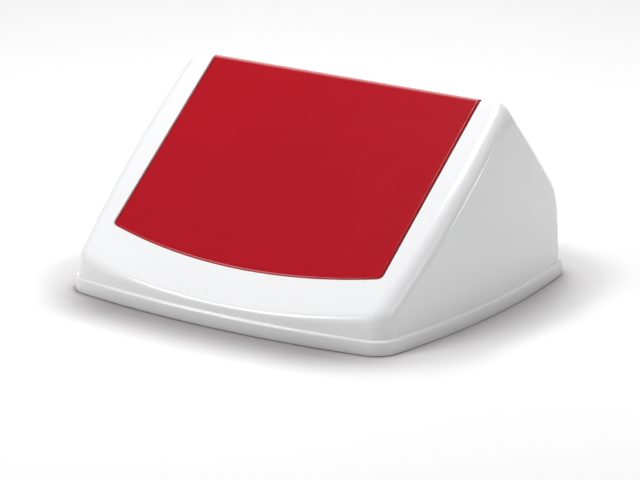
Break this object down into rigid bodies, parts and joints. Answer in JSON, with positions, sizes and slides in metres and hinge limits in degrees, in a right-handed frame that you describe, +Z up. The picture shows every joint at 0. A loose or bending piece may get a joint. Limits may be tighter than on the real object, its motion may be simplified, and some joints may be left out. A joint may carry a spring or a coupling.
{
  "type": "swing flap bin lid",
  "caption": "Wedge-shaped white hood for a rectangular waste bin, with a red balanced flap that swings both ways on side pins.",
  "frame": {"origin": "middle of the rim's lower edge, where the hood rests on a bin or a floor", "axes": "+X to the hood's right side seen from the front, along the hinge line; +Y to the back; +Z up; the long front slope faces -Y"},
  "size_m": [0.366, 0.332, 0.1801],
  "materials": {
    "hood_white": "gloss",
    "flap_red": "satin gloss",
    "bracket_plastic": "moulded matte",
    "bush_plastic": "machined matte",
    "buffer_rubber": "matte",
    "pin_steel": "turned",
    "clip_steel": "spring temper",
    "screw_steel": "zinc plated"
  },
  "bodies": {
    "hood": {"hood": "hood_white", "hinge_bracket_left": "bracket_plastic", "hinge_bracket_right": "bracket_plastic", "bracket_screws_left": "screw_steel", "bracket_screws_right": "screw_steel", "bush_left": "bush_plastic", "bush_right": "bush_plastic", "stop_buffers_left": "buffer_rubber", "stop_buffers_right": "buffer_rubber"},
    "flap": {"flap": "flap_red", "pivot_pin_left": "pin_steel", "pivot_pin_right": "pin_steel", "pin_clip_left": "clip_steel", "pin_clip_right": "clip_steel"}
  },
  "joints": [
    {"name": "flap_swing", "type": "hinge", "parent": "hood", "child": "flap", "pos_m": [0, -0.0021, 0.13626], "axis": [1, 0, 0], "range_deg": [-45, 45]}
  ]
}
